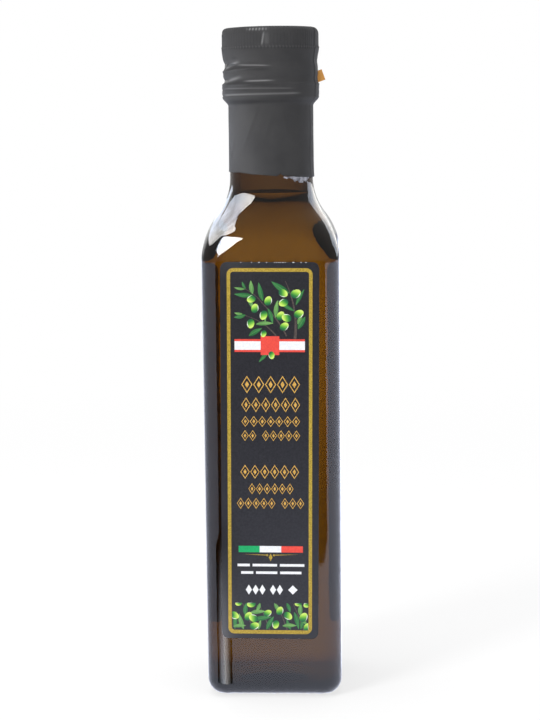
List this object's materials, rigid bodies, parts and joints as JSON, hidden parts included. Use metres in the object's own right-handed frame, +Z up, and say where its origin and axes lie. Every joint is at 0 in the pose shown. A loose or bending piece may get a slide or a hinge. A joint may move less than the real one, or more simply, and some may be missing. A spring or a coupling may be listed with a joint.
{
  "type": "olive oil bottle",
  "caption": "Square glass oil bottle with rounded shoulders and a round neck, filled with golden oil, closed by a screw cap under a dark shrunk capsule, with a tall label front and back",
  "frame": {"origin": "centre of the foot", "axes": "X across the front label, Y from the front label to the back label, Z up; the front label faces -Y"},
  "size_m": [0.046, 0.0464, 0.2265],
  "materials": {
    "tinted_glass": "dark brown tinted glass, smooth and glossy, with fine bars round the foot",
    "golden_oil": "clear deep golden liquid",
    "black_plastic": "moulded, hidden under the capsule",
    "grey_film": "dark grey shrunk film, satin, lightly puckered",
    "copper_film": "copper-coloured film, satin",
    "slate_paper": "matte slate paper with a gold border and printed fields of colour",
    "gold_ink": "gold printing ink on the labels",
    "white_ink": "white printing ink on the front label",
    "red_ink": "red printing ink on the front label",
    "green_ink": "green printing ink on the front label",
    "twig_ink": "grey-brown printing ink on the front label"
  },
  "bodies": {
    "root": {"bottle_glass": "tinted_glass", "olive_oil": "golden_oil", "screw_cap": "black_plastic", "shrink_capsule": "grey_film", "tear_tab": "copper_film", "front_label": "slate_paper", "back_label": "slate_paper"}
  },
  "joints": []
}
